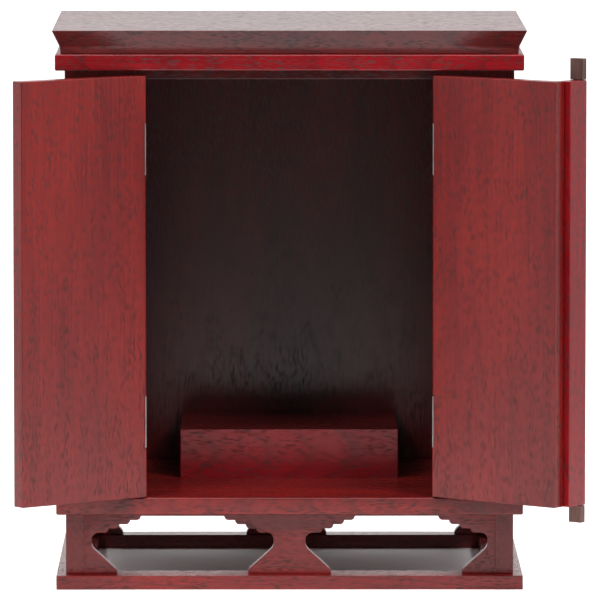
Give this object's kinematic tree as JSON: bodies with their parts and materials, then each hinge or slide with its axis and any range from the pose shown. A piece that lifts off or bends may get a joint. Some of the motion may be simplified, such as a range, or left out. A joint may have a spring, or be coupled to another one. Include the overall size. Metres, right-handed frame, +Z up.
{
  "type": "household altar cabinet",
  "caption": "Red-stained wooden household altar cabinet with hinged doors, an open altar space with a loose stand, a bevelled crown and a cusped openwork plinth.",
  "frame": {"origin": "on the underside of the front base rail, midway across, straight below the front face of the case", "axes": "+Z up, -Y towards the front, where the doors open, +X to the right as seen from the front"},
  "size_m": [0.4849, 0.3844, 0.48],
  "materials": {
    "red_wood": "stained red, open pored, satin lacquer",
    "bright_red_wood": "stained red, satin lacquer",
    "dark_red_wood": "stained dark red, satin lacquer",
    "bronzed_metal": "brown anodised, satin",
    "hinge_steel": "satin"
  },
  "bodies": {
    "cabinet": {"crown_board": "dark_red_wood", "crown_moulding": "bright_red_wood", "side_board_left": "red_wood", "side_board_right": "red_wood", "back_board": "dark_red_wood", "stile_left": "red_wood", "stile_right": "red_wood", "stop_rail": "red_wood", "ledge_board": "red_wood", "plinth_front": "red_wood", "plinth_rear": "red_wood", "plinth_left": "red_wood", "plinth_right": "red_wood", "base_rail_front": "red_wood", "base_rail_rear": "red_wood", "base_rail_left": "red_wood", "base_rail_right": "red_wood", "stand_top": "dark_red_wood", "stand_front": "red_wood", "stand_back": "red_wood", "stand_side_left": "red_wood", "stand_side_right": "red_wood", "hinge_left_lower_case_leaf": "hinge_steel", "hinge_left_upper_case_leaf": "hinge_steel", "hinge_right_lower_case_leaf": "hinge_steel", "hinge_right_upper_case_leaf": "hinge_steel"},
    "left_door": {"door_left": "red_wood", "hinge_left_lower_door_leaf": "hinge_steel", "hinge_left_upper_door_leaf": "hinge_steel"},
    "right_door": {"door_right": "red_wood", "meeting_bar": "bright_red_wood", "meeting_bar_tip_upper": "bronzed_metal", "meeting_bar_tip_lower": "bronzed_metal", "hinge_right_lower_door_leaf": "hinge_steel", "hinge_right_upper_door_leaf": "hinge_steel"}
  },
  "joints": [
    {"name": "left_door_hinge", "type": "hinge", "parent": "cabinet", "child": "left_door", "pos_m": [-0.13075, -0.0018, 0.26], "axis": [0, 0, -1], "range_deg": [-143, 35]},
    {"name": "right_door_hinge", "type": "hinge", "parent": "cabinet", "child": "right_door", "pos_m": [0.13075, -0.0018, 0.26], "axis": [0, 0, 1], "range_deg": [-141.5, 36.5]}
  ]
}
